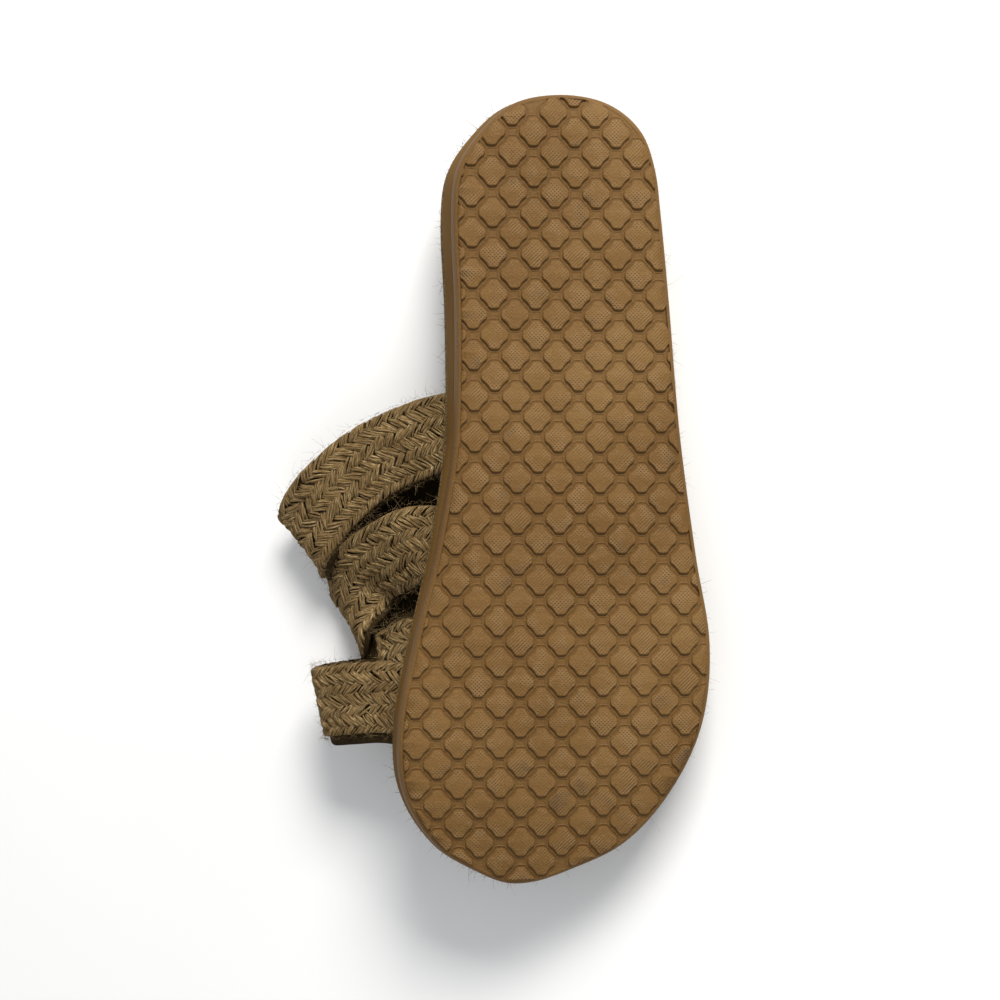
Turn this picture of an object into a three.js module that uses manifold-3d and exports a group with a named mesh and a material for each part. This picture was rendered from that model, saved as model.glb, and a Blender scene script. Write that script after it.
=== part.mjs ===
// A right-foot sandal with braided straps on a wedge sole, in millimetres, +Z up.
// It is shaped upright in its own frame: +X from heel to toe, +Y to the big-toe side, +Z from sole to straps.
// The whole sandal is then laid down on its outer sole rim and its slack straps, with the tread turned up.

import * as THREE from 'three';
import { mergeVertices } from 'three/addons/utils/BufferGeometryUtils.js';
import Module from 'manifold-3d';

const wasm = await Module();
wasm.setup();

// Sole
const soleLength = 259.5;
const ballWidth = 100.5;
const heelHeight = 26;
const foreHeight = 18;
const toeSpring = 9;
const heelLift = 1.6;
const outsoleThickness = 6.6;
const insoleThickness = 4.6;
const fitGap = 0.3;

// Tread
const lugPitch = 13.3;
const lugColumnPitch = 13.65;
const lugHeight = 1.2;
const lugLength = 9.3;
const lugWidth = 9.1;
const lugEndWidth = 3;
const lugSideLength = 2.4;
const lugRoot = 0.6;
const treadMargin = 1.2;
const treadStart = 32.5;
const treadSide = 30.9;
const treadSkew = 0.0146;

// Side of the sole
const edgeBevel = 0.9;
const sideGroove = 0.9;
const sideStep = 0.35;
const wallSlope = 0.175;
const rimInset = 0.9;
const rimRound = 0.8;
const footbedDip = 1.8;

// Side of the midsole from its bottom up: share of its height, then how far its wall is set in
const midsoleRows = [
  { part: 0, inset: sideGroove },
  { part: 0.06, inset: sideGroove },
  { part: 0.14, inset: sideStep },
  { part: 0.86, inset: sideStep },
  { part: 0.94, inset: sideGroove },
  { part: 1, inset: sideGroove },
];

// Straps
const strapWidth = 28.5;
const strapThickness = 4.4;
const backShare = 0.94;
const ridgeHeight = 0.7;
const ridgeSink = 0.28;
const strapInset = 1.8;
const upperHeight = 48;
const endRise = 1;
const notchDepth = 3;
const notchRoom = 2.2;
const ridgeCount = 4;

// Fineness of the faceted forms
const soleRows = 25;
const strapSteps = 20;
const footbedColumns = 4;

// Edge of the tread face: share of the length from the heel, then the inner and the outer edge as
// shares of the ball width from the sandal's axis.
const edgeRows = [
  { along: 0, inner: 0, outer: 0 },
  { along: 0.009, inner: 0.142, outer: -0.131 },
  { along: 0.045, inner: 0.26, outer: -0.247 },
  { along: 0.094, inner: 0.342, outer: -0.294 },
  { along: 0.15, inner: 0.36, outer: -0.312 },
  { along: 0.265, inner: 0.35, outer: -0.34 },
  { along: 0.381, inner: 0.35, outer: -0.364 },
  { along: 0.45, inner: 0.358, outer: -0.382 },
  { along: 0.585, inner: 0.418, outer: -0.43 },
  { along: 0.693, inner: 0.485, outer: -0.475 },
  { along: 0.793, inner: 0.533, outer: -0.454 },
  { along: 0.878, inner: 0.519, outer: -0.359 },
  { along: 0.952, inner: 0.402, outer: -0.192 },
  { along: 0.985, inner: 0.269, outer: -0.012 },
  { along: 1, inner: 0.149, outer: 0.149 },
];

// Height of the wedge: share of the length, then the share of the way from fore height to heel height.
const wedgeRows = [
  { along: 0, wedge: 1 },
  { along: 0.22, wedge: 0.96 },
  { along: 0.45, wedge: 0.5 },
  { along: 0.7, wedge: 0.04 },
  { along: 1, wedge: 0 },
];
const springShare = 0.7;
const heelLiftShare = 0.05;

// Lean of the tread's plane, in degrees, at which only the outer rim is sure to touch the floor
const startLean = 45;

// Least distance between two places at which the sandal touches the floor
const contactSpread = 4.4;

// Densities of the materials in grams per cubic centimetre, which set the sandal's balance point
const rubberDensity = 1.1;
const foamDensity = 0.3;
const footbedDensity = 0.35;
const juteDensity = 0.35;

// Straps, from the inner rim over the foot to the outer rim. The first and the last row name the place
// of the strap's ends on the rim. A row between them gives the middle of the strap as a share of the
// length, of the ball width from the axis and of the upper's height over the rim, and the turn of the
// strap's width in degrees from straight ahead. The straps are slack and pushed to the inner side.
const toeStrap = {
  innerEnd: 0.772,
  outerEnd: 0.755,
  innerTuck: 0,
  outerTuck: 0,
  rows: [
    { along: 0.773, across: 0.6, rise: 0.15, turn: -4 },
    { along: 0.778, across: 0.705, rise: 0.28, turn: -8 },
    { along: 0.784, across: 0.782, rise: 0.45, turn: -12 },
    { along: 0.783, across: 0.765, rise: 0.62, turn: -12 },
    { along: 0.775, across: 0.6, rise: 0.64, turn: -8 },
    { along: 0.766, across: 0.25, rise: 0.47, turn: -3 },
    { along: 0.76, across: -0.12, rise: 0.32, turn: 0 },
    { along: 0.756, across: -0.36, rise: 0.17, turn: 2 },
  ],
};
const instepStrap = {
  innerEnd: 0.4215,
  outerEnd: 0.445,
  innerTuck: 0,
  outerTuck: 0,
  rows: [
    { along: 0.434, across: 0.46, rise: 0.17, turn: -12 },
    { along: 0.463, across: 0.62, rise: 0.33, turn: -22 },
    { along: 0.518, across: 0.781, rise: 0.5, turn: -36 },
    { along: 0.566, across: 0.85, rise: 0.7, turn: -31 },
    { along: 0.57, across: 0.78, rise: 0.88, turn: -28 },
    { along: 0.55, across: 0.565, rise: 0.76, turn: -21 },
    { along: 0.508, across: 0.2, rise: 0.47, turn: -14 },
    { along: 0.472, across: -0.12, rise: 0.235, turn: -10 },
    { along: 0.452, across: -0.32, rise: 0.075, turn: -4 },
  ],
};
const forwardStrap = {
  innerEnd: 0.567,
  outerEnd: 0.695,
  innerTuck: 0,
  outerTuck: 1,
  rows: [
    { along: 0.573, across: 0.49, rise: 0.19, turn: -10 },
    { along: 0.592, across: 0.575, rise: 0.39, turn: -30 },
    { along: 0.615, across: 0.645, rise: 0.59, turn: -39 },
    { along: 0.67, across: 0.688, rise: 0.75, turn: -17 },
    { along: 0.684, across: 0.615, rise: 0.79, turn: -8 },
    { along: 0.676, across: 0.33, rise: 0.57, turn: 0 },
    { along: 0.688, across: -0.05, rise: 0.29, turn: 4 },
    { along: 0.698, across: -0.3, rise: 0.12, turn: 4 },
  ],
};
const backwardStrap = {
  innerEnd: 0.717,
  outerEnd: 0.565,
  innerTuck: 1,
  outerTuck: 0,
  rows: [
    { along: 0.717, across: 0.49, rise: 0.13, turn: 0 },
    { along: 0.732, across: 0.56, rise: 0.26, turn: 4 },
    { along: 0.736, across: 0.56, rise: 0.4, turn: 8 },
    { along: 0.705, across: 0.43, rise: 0.45, turn: 14 },
    { along: 0.645, across: 0.15, rise: 0.34, turn: 16 },
    { along: 0.592, across: -0.15, rise: 0.18, turn: 12 },
    { along: 0.567, across: -0.31, rise: 0.085, turn: 2 },
  ],
};
const straps = [toeStrap, instepStrap, forwardStrap, backwardStrap];

// Value of a table's column at a share of the length, on a smooth curve through the rows. The measure
// maps the share so that the round ends of the outline stay round.
function valueAt(rows, column, share, measure) {
  const place = measure(THREE.MathUtils.clamp(share, 0, 1));
  const last = rows.length - 1;
  const spot = (k) => measure(rows[k].along);
  let low = 0;
  while (low < last - 1 && place > spot(low + 1)) low += 1;
  const slope = (k) => {
    const before = Math.max(k - 1, 0);
    const after = Math.min(k + 1, last);
    return (rows[after][column] - rows[before][column]) / (spot(after) - spot(before));
  };
  const span = spot(low + 1) - spot(low);
  const t = (place - spot(low)) / span;
  const start = rows[low][column];
  const end = rows[low + 1][column];
  const bend = t * t * (3 - 2 * t);
  const leave = t * (1 - t) * (1 - t) * span * slope(low);
  const arrive = t * t * (t - 1) * span * slope(low + 1);
  return start + (end - start) * bend + leave + arrive;
}

const roundEnds = (share) => Math.acos(1 - 2 * share) / Math.PI;
const evenly = (share) => share;

// Inner or outer edge of the tread face at a distance from the heel
function edgeAt(side, x) {
  return valueAt(edgeRows, side, x / soleLength, roundEnds) * ballWidth;
}

// Lift of the tread face off the ground plane: a toe spring and a small lift behind the heel
function liftAt(x) {
  const share = x / soleLength;
  const toe = Math.max(0, (share - springShare) / (1 - springShare));
  const heel = Math.max(0, 1 - share / heelLiftShare);
  return toeSpring * toe * toe + heelLift * heel * heel;
}

// Height of the footbed's rim over the ground plane
function rimAt(x) {
  const wedge = valueAt(wedgeRows, 'wedge', x / soleLength, evenly);
  return liftAt(x) + foreHeight + (heelHeight - foreHeight) * wedge;
}

// The outline as a closed ring seen from above, pushed in by an inset: heel, inner side, toe, outer side
function outline(insetAt) {
  const ring = [];
  for (let k = 0; k < 2 * soleRows; k += 1) {
    const row = k <= soleRows ? k : 2 * soleRows - k;
    const x = soleLength * (1 - Math.cos((Math.PI * row) / soleRows)) / 2;
    ring.push(new THREE.Vector2(x, edgeAt(k <= soleRows ? 'inner' : 'outer', x)));
  }
  return ring.map((point, k) => {
    const before = ring[(k + ring.length - 1) % ring.length];
    const after = ring[(k + 1) % ring.length];
    const way = after.clone().sub(before).normalize();
    const inset = insetAt(point.x);
    return new THREE.Vector2(point.x + way.y * inset, point.y - way.x * inset);
  });
}

// Width that the sloping side wall adds to each side of the outline at a height
function flareAt(x, height) {
  return wallSlope * (height - liftAt(x));
}

// A ring of the sole at a height that follows the length, set in from the sloping side wall
function level(inset, heightAt) {
  const ring = outline((x) => inset - flareAt(x, heightAt(x)));
  return ring.map((point) => new THREE.Vector3(point.x, point.y, heightAt(point.x)));
}

// Points across one row of a cap, from the inner edge to the outer edge, with a dip in the middle
function capRow(ring, row, columns, dip) {
  const inner = ring[row];
  const outer = ring[(2 * soleRows - row) % ring.length];
  const points = [];
  for (let k = 1; k < columns; k += 1) {
    const t = k / columns;
    const point = inner.clone().lerp(outer, t);
    point.z -= dip * 4 * t * (1 - t);
    points.push(point);
  }
  return [inner, ...points, outer];
}

// The triangles of a cap that closes a ring, row by row from heel to toe, facing up or down
function capTriangles(ring, columns, dip, facesUp) {
  const triangles = [];
  const put = (a, b, c) => triangles.push(facesUp ? [a, b, c] : [a, c, b]);
  for (let row = 0; row < soleRows; row += 1) {
    const back = row === 0 ? [ring[0]] : capRow(ring, row, columns, dip);
    const front = row === soleRows - 1 ? [ring[soleRows]] : capRow(ring, row + 1, columns, dip);
    for (let k = 0; k < columns; k += 1) {
      if (front.length > 1) put(back[Math.min(k, back.length - 1)], front[k + 1], front[k]);
      if (back.length > 1) put(back[k], back[k + 1], front[Math.min(k + 1, front.length - 1)]);
    }
  }
  return triangles;
}

// A closed solid from triangles given as three points each
function solidOf(triangles) {
  const geometry = new THREE.BufferGeometry();
  const values = triangles.flat().flatMap((point) => [point.x, point.y, point.z]);
  geometry.setAttribute('position', new THREE.Float32BufferAttribute(values, 3));
  const merged = mergeVertices(geometry);
  const vertProperties = new Float32Array(merged.attributes.position.array);
  const triVerts = new Uint32Array(merged.index.array);
  return new wasm.Manifold(new wasm.Mesh({ numProp: 3, vertProperties, triVerts }));
}

// A layer of the sole: rings from the bottom up, closed by a cap below and a cap above
function soleLayer(rings, columns, dip) {
  const triangles = capTriangles(rings[0], 1, 0, false);
  triangles.push(...capTriangles(rings[rings.length - 1], columns, dip, true));
  for (let k = 0; k < rings.length - 1; k += 1) {
    const low = rings[k];
    const high = rings[k + 1];
    low.forEach((point, i) => {
      const next = (i + 1) % low.length;
      triangles.push([point, high[i], low[next]]);
      triangles.push([low[next], high[i], high[next]]);
    });
  }
  return solidOf(triangles);
}

// One lug: an eight-sided block with four short ends and four long slanting sides
function lugTriangles(x, y) {
  const [end, edge] = [lugEndWidth / 2, lugSideLength / 2];
  const [front, side] = [lugLength / 2, lugWidth / 2];
  const corners = [
    [front, end], [edge, side], [-edge, side], [-front, end],
    [-front, -end], [-edge, -side], [edge, -side], [front, -end],
  ];
  const low = corners.map(([dx, dy]) => new THREE.Vector3(x + dx, y + dy, liftAt(x + dx)));
  const high = low.map((point) => point.clone().setZ(point.z + lugHeight + lugRoot));
  const triangles = [];
  low.forEach((point, k) => {
    const next = (k + 1) % low.length;
    triangles.push([point, low[next], high[k]]);
    triangles.push([low[next], high[next], high[k]]);
    if (k > 0 && k < low.length - 1) {
      triangles.push([low[0], low[next], point]);
      triangles.push([high[0], high[k], high[next]]);
    }
  });
  return triangles;
}

// All lugs stand like the dark squares of a chequered board, and the outline cuts those at the edge.
function treadLugs() {
  const rowStep = lugPitch / 2;
  const columnStep = lugColumnPitch / 2;
  const triangles = [];
  const firstRow = -Math.ceil(treadStart / rowStep);
  const lastRow = Math.ceil((soleLength - treadStart) / rowStep);
  const sideRows = Math.ceil((ballWidth + treadSide) / columnStep);
  for (let row = firstRow; row <= lastRow; row += 1) {
    for (let column = -sideRows; column <= sideRows; column += 1) {
      const x = treadStart + row * rowStep;
      const y = treadSide + column * columnStep - treadSkew * (x - treadStart);
      const onBoard = (row + column) % 2 === 0;
      const beside = Math.max(y - edgeAt('inner', x), edgeAt('outer', x) - y);
      const onSole = x > 0 && x < soleLength && beside < 0;
      if (onBoard && onSole) triangles.push(...lugTriangles(x, y));
    }
  }
  return solidOf(triangles);
}

// Outsole: a rubber slab with a bevelled lower edge, and the lugs moulded on it
function makeOutsole() {
  const over = (height) => (x) => liftAt(x) + height;
  const bevelTop = lugHeight + edgeBevel;
  const slab = soleLayer([
    level(edgeBevel, over(lugHeight)),
    level(0, over(bevelTop)),
    level(0, over(outsoleThickness)),
  ], 1, 0);
  const trimmer = soleLayer([
    level(treadMargin, over(-lugHeight)),
    level(treadMargin, over(lugHeight + 2 * lugRoot)),
  ], 1, 0);
  return slab.add(treadLugs().intersect(trimmer));
}

// Midsole: the foam wedge, set in at the glue line, with a step along its side and a soft upper edge
function makeMidsole() {
  const bottom = (x) => liftAt(x) + outsoleThickness + fitGap;
  const top = (x) => rimAt(x) - insoleThickness - fitGap;
  const rings = midsoleRows.map(({ part, inset }) => (
    level(inset, (x) => bottom(x) + (top(x) - bottom(x)) * part)
  ));
  return soleLayer(rings, 1, 0);
}

// Footbed: a jute-covered pad with a round rim and a shallow dip, notched for the strap ends
function makeInsole() {
  const height = (down) => (x) => rimAt(x) - down;
  const pad = soleLayer([
    level(rimInset + rimRound, height(insoleThickness)),
    level(rimInset, height(insoleThickness - rimRound)),
    level(rimInset, height(rimRound)),
    level(rimInset + rimRound, height(0)),
  ], footbedColumns, footbedDip);
  const notches = straps.flatMap((strap) => [strapNotch(strap, 'inner'), strapNotch(strap, 'outer')]);
  return notches.reduce((solid, notch) => solid.subtract(notch), pad);
}

// Where a strap's end stands on the rim, seen from above: its middle, the way along the rim from heel
// to toe, and the way out. Tucked ends stand behind those of the strap outside them.
function endPlace(strap, side) {
  const inner = side === 'inner';
  const x = (inner ? strap.innerEnd : strap.outerEnd) * soleLength;
  const tuck = inner ? strap.innerTuck : strap.outerTuck;
  const depth = strapInset + strapThickness / 2 + tuck * (strapThickness + fitGap);
  const rimPoint = (place) => {
    const flare = flareAt(place, rimAt(place));
    return new THREE.Vector2(place, edgeAt(side, place) + (inner ? flare : -flare));
  };
  const rear = rimPoint(x - strapWidth / 2);
  const front = rimPoint(x + strapWidth / 2);
  const way = front.clone().sub(rear).normalize();
  const out = inner ? new THREE.Vector2(-way.y, way.x) : new THREE.Vector2(way.y, -way.x);
  const middle = rear.add(front).multiplyScalar(0.5).addScaledVector(out, -depth);
  return { middle, way, out };
}

// The two edges of a strap as curves, a width apart
function strapEdges(strap) {
  const middles = [];
  const leads = [];
  const addEnd = (side, rises) => {
    const { middle, way } = endPlace(strap, side);
    rises.forEach((rise) => {
      middles.push(new THREE.Vector3(middle.x, middle.y, rimAt(middle.x) + rise));
      leads.push(new THREE.Vector3(way.x, way.y, 0));
    });
  };
  addEnd('inner', [-insoleThickness, endRise]);
  strap.rows.forEach((row) => {
    const x = row.along * soleLength;
    const turn = THREE.MathUtils.degToRad(row.turn);
    middles.push(new THREE.Vector3(x, row.across * ballWidth, rimAt(x) + row.rise * upperHeight));
    leads.push(new THREE.Vector3(Math.cos(turn), Math.sin(turn), 0));
  });
  addEnd('outer', [endRise, -insoleThickness]);
  const last = middles.length - 1;
  const rears = [];
  const fronts = [];
  middles.forEach((middle, k) => {
    const before = middles[Math.max(k - 1, 0)];
    const after = middles[Math.min(k + 1, last)];
    const way = after.clone().sub(before).normalize();
    const lead = leads[k].clone().addScaledVector(way, -leads[k].dot(way)).normalize();
    rears.push(middle.clone().addScaledVector(lead, -strapWidth / 2));
    fronts.push(middle.clone().addScaledVector(lead, strapWidth / 2));
  });
  return { rear: new THREE.CatmullRomCurve3(rears), front: new THREE.CatmullRomCurve3(fronts) };
}

// A strap as a flat band. Its section is a list of points: a share of the half width from the middle,
// and the height over the strap's middle sheet, which changes from step to step.
function strapBand(strap) {
  const edges = strapEdges(strap);
  const rings = [];
  for (let step = 0; step <= strapSteps; step += 1) {
    const u = step / strapSteps;
    const rear = edges.rear.getPoint(u);
    const front = edges.front.getPoint(u);
    const way = edges.rear.getTangent(u).add(edges.front.getTangent(u)).normalize();
    const middle = rear.clone().add(front).multiplyScalar(0.5);
    const side = front.clone().sub(rear).multiplyScalar(0.5);
    const up = new THREE.Vector3().crossVectors(way, side).normalize();
    if (step === 0) middle.addScaledVector(way, -notchDepth);
    if (step === strapSteps) middle.addScaledVector(way, notchDepth);
    rings.push(braidSection(step).map(([across, height]) => (
      middle.clone().addScaledVector(side, across).addScaledVector(up, height)
    )));
  }
  return solidOf(bandTriangles(rings));
}

// The triangles of a band: walls from ring to ring, and a fan over each end
function bandTriangles(rings) {
  const triangles = [];
  const count = rings[0].length;
  for (let k = 0; k < rings.length - 1; k += 1) {
    for (let i = 0; i < count; i += 1) {
      const next = (i + 1) % count;
      triangles.push([rings[k][i], rings[k][next], rings[k + 1][i]]);
      triangles.push([rings[k][next], rings[k + 1][next], rings[k + 1][i]]);
    }
  }
  const centre = (ring) => ring.reduce((sum, p) => sum.add(p), new THREE.Vector3()).divideScalar(count);
  const start = rings[0];
  const end = rings[rings.length - 1];
  const startCentre = centre(start);
  const endCentre = centre(end);
  for (let i = 0; i < count; i += 1) {
    const next = (i + 1) % count;
    triangles.push([startCentre, start[next], start[i]]);
    triangles.push([endCentre, end[i], end[next]]);
  }
  return triangles;
}

// Section of the braid: a flat lined back and raised plait strips that rise and sink in turn
function braidSection(step) {
  const half = strapThickness / 2;
  const points = [[-backShare, -half], [backShare, -half], [1, half - 2 * ridgeHeight]];
  for (let k = 2 * ridgeCount - 1; k > 0; k -= 1) {
    const strip = (k - 1) / 2;
    const sink = (strip + step) % 2 === 0 ? 0 : ridgeSink;
    const height = k % 2 === 1 ? half - sink : half - ridgeHeight;
    points.push([k / ridgeCount - 1, height]);
  }
  points.push([-1, half - 2 * ridgeHeight]);
  return points;
}

// Upper: the four straps as one solid, joined where they cross, their ends cut to stand on the midsole
function makeUpper() {
  const bands = straps.map(strapBand);
  const floor = soleLayer([
    level(-notchDepth, (x) => rimAt(x) - insoleThickness - 2 * notchDepth),
    level(-notchDepth, (x) => rimAt(x) - insoleThickness),
  ], 1, 0);
  return bands.reduce((solid, band) => solid.add(band)).subtract(floor);
}

// Room in the footbed's rim for one end of a strap, open to the outside
function strapNotch(strap, side) {
  const { middle, way, out } = endPlace(strap, side);
  const half = strapWidth / 2 + fitGap;
  const inside = -strapThickness / 2 - notchRoom;
  const outside = strapThickness / 2 + notchDepth;
  const corners = [[-half, inside], [half, inside], [half, outside], [-half, outside]];
  if (side === 'outer') corners.reverse();
  const ring = (rise) => corners.map(([along, across]) => {
    const point = middle.clone().addScaledVector(way, along).addScaledVector(out, across);
    return new THREE.Vector3(point.x, point.y, rimAt(middle.x) + rise);
  });
  return solidOf(bandTriangles([ring(-2 * insoleThickness), ring(insoleThickness)]));
}

// A board lies against the sandal at one point. It is tipped towards a direction in its own plane until
// it meets the next point. Returned are that point and the board's new normal.
function tip(points, pivot, normal, towards) {
  let least = Math.PI;
  let touched = pivot;
  points.forEach((point) => {
    const arm = point.clone().sub(pivot);
    const reach = arm.dot(towards);
    const angle = Math.atan2(arm.dot(normal), reach);
    if (reach > contactSpread && angle < least) {
      least = angle;
      touched = point;
    }
  });
  const turned = normal.clone().multiplyScalar(Math.cos(least)).addScaledVector(towards, -Math.sin(least));
  return { touched, turned };
}

// The part of a direction that lies in a plane, as a unit vector
function within(direction, normal) {
  return direction.clone().addScaledVector(normal, -direction.dot(normal)).normalize();
}

// The edge of the three points on the floor that the balance point lies outside of, if there is one
function edgeToTipOver(contacts, balance, normal) {
  for (let k = 0; k < contacts.length; k += 1) {
    const [from, to, third] = [contacts[k], contacts[(k + 1) % 3], contacts[(k + 2) % 3]];
    const way = to.clone().sub(from);
    const outward = new THREE.Vector3().crossVectors(way, normal).normalize();
    if (outward.dot(third.clone().sub(from)) > 0) outward.negate();
    if (outward.dot(balance.clone().sub(from)) > 0) return { from, to, outward };
  }
  return null;
}

// The normal of the floor that the sandal rests on, in its own frame. The floor first meets the outer
// rim of the sole. It is tipped from contact to contact until the balance point stands over them.
function floorNormal(points, balance) {
  const lean = THREE.MathUtils.degToRad(startLean);
  const start = new THREE.Vector3(0, Math.cos(lean), -Math.sin(lean));
  const lowest = points.reduce((best, point) => (point.dot(start) < best.dot(start) ? point : best));
  const ahead = new THREE.Vector3(Math.sign(balance.x - lowest.x), 0, 0);
  const first = tip(points, lowest, start, within(ahead, start));
  const rim = first.touched.clone().sub(lowest).normalize();
  const inward = within(balance.clone().sub(lowest), first.turned);
  let step = tip(points, lowest, first.turned, within(inward, rim));
  let contacts = [lowest, first.touched, step.touched];
  let edge = edgeToTipOver(contacts, balance, step.turned);
  while (edge) {
    step = tip(points, edge.from, step.turned, edge.outward);
    contacts = [edge.from, edge.to, step.touched];
    edge = edgeToTipOver(contacts, balance, step.turned);
  }
  return step.turned.normalize();
}

const pieces = [
  ['outsole', makeOutsole(), rubberDensity, { color: 0x8f6a3e, roughness: 0.75, metalness: 0 }],
  ['midsole', makeMidsole(), foamDensity, { color: 0x7d5c38, roughness: 0.8, metalness: 0 }],
  ['insole', makeInsole(), footbedDensity, { color: 0x9b8259, roughness: 0.95, metalness: 0 }],
  ['upper', makeUpper(), juteDensity, { color: 0x8d7650, roughness: 0.95, metalness: 0 }],
];

// The meshes, and the weighed sum of their tetrahedra for the balance point
const sandal = new THREE.Group();
const touchable = [];
const moment = new THREE.Vector3();
let weight = 0;
pieces.forEach(([name, solid, density, finish]) => {
  const { vertProperties, triVerts } = solid.getMesh();
  const geometry = new THREE.BufferGeometry();
  geometry.setAttribute('position', new THREE.BufferAttribute(vertProperties, 3));
  geometry.setIndex(new THREE.BufferAttribute(triVerts, 1));
  geometry.computeVertexNormals();
  const mesh = new THREE.Mesh(geometry, new THREE.MeshStandardMaterial(finish));
  mesh.name = name;
  sandal.add(mesh);
  const corner = (k) => new THREE.Vector3().fromArray(vertProperties, 3 * k);
  for (let k = 0; k < vertProperties.length / 3; k += 1) touchable.push(corner(k));
  for (let k = 0; k < triVerts.length; k += 3) {
    const [a, b, c] = [corner(triVerts[k]), corner(triVerts[k + 1]), corner(triVerts[k + 2])];
    const share = density * a.dot(b.clone().cross(c));
    weight += share;
    moment.addScaledVector(a.add(b).add(c), share / 4);
  }
});

// Laid down: the toe points to -X, the tread faces -Y and up, and the box stands centred on the origin.
const up = floorNormal(touchable, moment.divideScalar(weight));
const heelward = within(new THREE.Vector3(-1, 0, 0), up);
const behind = new THREE.Vector3().crossVectors(up, heelward);
const axes = new THREE.Matrix4().makeBasis(heelward, behind, up).transpose();
sandal.quaternion.setFromRotationMatrix(axes);
const box = new THREE.Box3().setFromPoints(touchable.map((point) => point.clone().applyMatrix4(axes)));
const middle = box.getCenter(new THREE.Vector3());
sandal.position.set(-middle.x, -middle.y, -box.min.z);

export default sandal;
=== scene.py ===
import math

import bpy
import numpy as np
from mathutils import Matrix, Vector


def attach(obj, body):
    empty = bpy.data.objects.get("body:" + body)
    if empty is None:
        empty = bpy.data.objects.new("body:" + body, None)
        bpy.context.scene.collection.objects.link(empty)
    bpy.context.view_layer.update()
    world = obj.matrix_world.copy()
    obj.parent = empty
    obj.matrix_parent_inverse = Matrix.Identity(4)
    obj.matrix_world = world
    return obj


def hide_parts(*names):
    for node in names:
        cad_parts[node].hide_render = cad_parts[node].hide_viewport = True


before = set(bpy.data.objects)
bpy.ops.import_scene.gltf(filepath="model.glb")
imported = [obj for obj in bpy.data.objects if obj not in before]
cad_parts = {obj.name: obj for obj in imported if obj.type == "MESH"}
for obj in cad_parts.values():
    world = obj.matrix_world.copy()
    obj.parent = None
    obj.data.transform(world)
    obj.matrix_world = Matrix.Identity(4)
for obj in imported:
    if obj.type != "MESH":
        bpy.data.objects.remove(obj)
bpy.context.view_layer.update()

# The place of the sandal. It is drawn upright in its own frame, in millimetres: x from heel to toe,
# y to the big-toe side, z from sole to straps. It lies on its outer rim and its slack straps, so the
# floor's normal points out of the tread in that frame.
MM = 0.001
floor_way = Vector((0.025086, 0.329984, -0.943653)).normalized()
heel_way = Vector((-1, 0, 0))
heel_way = (heel_way - floor_way * heel_way.dot(floor_way)).normalized()
side_way = floor_way.cross(heel_way)
lie = Matrix((heel_way, side_way, floor_way)).to_4x4()
lie.translation = (0.129592, -0.032089, 0.034862)

# Outsole: moulded tan rubber with a chequered tread of eight-sided lugs, each in a thin raised ring.
# It is glued under the midsole. Its edge is bevelled, and a plain margin cuts off the outer lugs.
SOLE_LENGTH = 259.5
BALL_WIDTH = 100.5
HEEL_HEIGHT = 26
FORE_HEIGHT = 18
TOE_SPRING = 9
HEEL_LIFT = 1.6
SPRING_SHARE = 0.7
HEEL_LIFT_SHARE = 0.05
OUTSOLE_THICKNESS = 6.6
WALL_SLOPE = 0.175
LUG_PITCH = 13.3
LUG_COLUMN_PITCH = 13.65
TREAD_DEPTH = 1.05
LUG_LENGTH = 9.3
LUG_WIDTH = 9.1
LUG_END_WIDTH = 3
LUG_SIDE_LENGTH = 2.4
LUG_HOLLOW = 0.5
CORNER_CUT = 0.5
HOLLOW_CUT = 0.9
TREAD_MARGIN = 1.2
TREAD_START = 32.5
TREAD_SIDE = 30.9
TREAD_SKEW = 0.0146
EDGE_BEVEL = 0.9
TOP_INSET = 1.6
OUTLINE_ROWS = 150
TREAD_COLUMNS = 6
FLAT_COLUMNS = 4

# share of the length from the heel, inner edge, outer edge: shares of the ball width from the axis
EDGE_ROWS = [
    (0, 0, 0), (0.009, 0.142, -0.131), (0.045, 0.26, -0.247), (0.094, 0.342, -0.294),
    (0.15, 0.36, -0.312), (0.265, 0.35, -0.34), (0.381, 0.35, -0.364), (0.45, 0.358, -0.382),
    (0.585, 0.418, -0.43), (0.693, 0.485, -0.475), (0.793, 0.533, -0.454), (0.878, 0.519, -0.359),
    (0.952, 0.402, -0.192), (0.985, 0.269, -0.012), (1, 0.149, 0.149),
]
# share of the length, share of the way from fore height to heel height
WEDGE_ROWS = [(0, 1), (0.22, 0.96), (0.45, 0.5), (0.7, 0.04), (1, 0)]


def make_piece(name, points, faces, materials, face_finish=None, uvs=None):
    """A mesh piece from points in the sandal's own frame and its faces, which rides on the sandal."""
    mesh = bpy.data.meshes.new(name)
    placed = points * MM @ np.array(lie.to_3x3()).T + np.array(lie.translation)
    mesh.from_pydata(placed.tolist(), [], faces.tolist())
    mesh.polygons.foreach_set("use_smooth", np.ones(len(mesh.polygons), bool))
    for material in materials:
        mesh.materials.append(material)
    if face_finish is not None:
        mesh.polygons.foreach_set("material_index", face_finish)
    if uvs is not None:
        layer = mesh.uv_layers.new(name="UVMap")
        layer.data.foreach_set("uv", uvs.reshape(-1).astype(np.float32))
    mesh.validate()
    piece = bpy.data.objects.new(name, mesh)
    bpy.context.scene.collection.objects.link(piece)
    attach(piece, "root")
    return piece


def rings_to_quads(rings, points, closed=True):
    """Faces between rows of points, each row a closed ring or an open line."""
    spots = points if closed else points - 1
    row, spot = np.meshgrid(np.arange(rings - 1), np.arange(spots), indexing="ij")
    here, after = row * points + spot, row * points + (spot + 1) % points
    return np.stack([here, after, after + points, here + points], -1).reshape(-1, 4)


def repeated(faces, count, size):
    """The same faces for each of several like forms, whose points follow each other."""
    return (faces[None] + size * np.arange(count)[:, None, None]).reshape(-1, faces.shape[1])


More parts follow.
